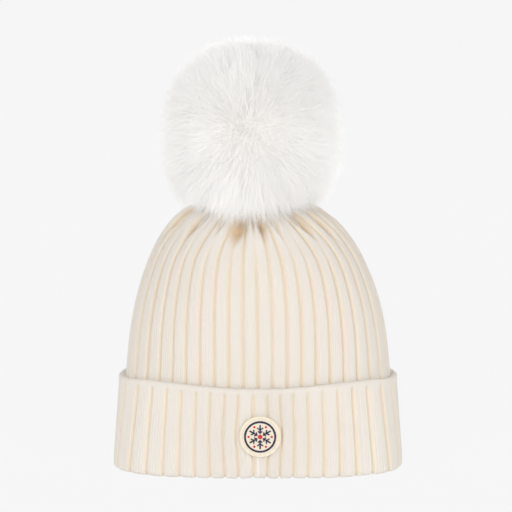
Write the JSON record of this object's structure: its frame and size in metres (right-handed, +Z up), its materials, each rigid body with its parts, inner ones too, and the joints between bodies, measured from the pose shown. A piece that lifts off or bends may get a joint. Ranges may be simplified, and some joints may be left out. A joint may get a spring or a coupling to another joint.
{
  "type": "pom pom beanie",
  "caption": "Rib-knit beanie with a deep turned-up cuff, a round cloth badge on the front and a large round fur pompom that snaps onto the crown.",
  "frame": {"origin": "middle of the hem, on the surface that the hat stands on", "axes": "+Z up through the crown, -Y towards the front with the badge, +X towards the wearer's left"},
  "size_m": [0.2106, 0.129, 0.3102],
  "materials": {
    "cream_knit": "matte",
    "cream_fur": "matte",
    "cream_felt": "matte",
    "cream_thread": "satin",
    "navy_thread": "satin",
    "red_thread": "satin",
    "white_satin": "satin",
    "snap_brass": "polished",
    "white_plastic": "matte",
    "fibre": "matte"
  },
  "bodies": {
    "hat": {"knit_crown": "cream_knit", "turn_up_cuff": "cream_knit", "back_seam": "cream_knit", "crown_gather_thread": "cream_thread", "badge_base": "cream_felt", "badge_border": "cream_thread", "badge_ring": "navy_thread", "badge_motif_navy": "navy_thread", "badge_motif_red": "red_thread", "badge_stitches": "cream_thread", "care_label_stitches": "cream_thread", "anchor_washer": "cream_felt", "snap_cap_inside": "snap_brass", "snap_socket": "snap_brass"},
    "label": {"care_label": "white_satin"},
    "snap_ring": {"snap_spring": "snap_brass"},
    "pompom_base": {"snap_stud": "snap_brass", "snap_stud_cap": "snap_brass", "pompom_base_disc": "white_plastic"},
    "pompom": {"fur_pile": "cream_fur", "fur_backing": "cream_felt", "fibre_fill": "fibre", "drawstring_thread": "cream_thread"}
  },
  "joints": [
    {"name": "pompom_swivel", "type": "hinge", "parent": "hat", "child": "snap_ring", "pos_m": [-0.0045, 0, 0.196], "axis": [0, 0, 1], "continuous": true},
    {"name": "pompom_unsnap", "type": "slide", "parent": "snap_ring", "child": "pompom_base", "axis": [0, 0, 1], "range_m": [0, 0.05]},
    {"name": "pompom_lean", "type": "hinge", "parent": "pompom_base", "child": "pompom", "pos_m": [-0.0045, 0, 0.196], "axis": [1, 0, 0], "range_deg": [-15, 15], "stiffness_Nm_per_rad": 0.1},
    {"name": "care_label_swing", "type": "hinge", "parent": "hat", "child": "label", "pos_m": [0, 0.04, 0.086], "axis": [-1, 0, 0], "range_deg": [0, 100]}
  ]
}
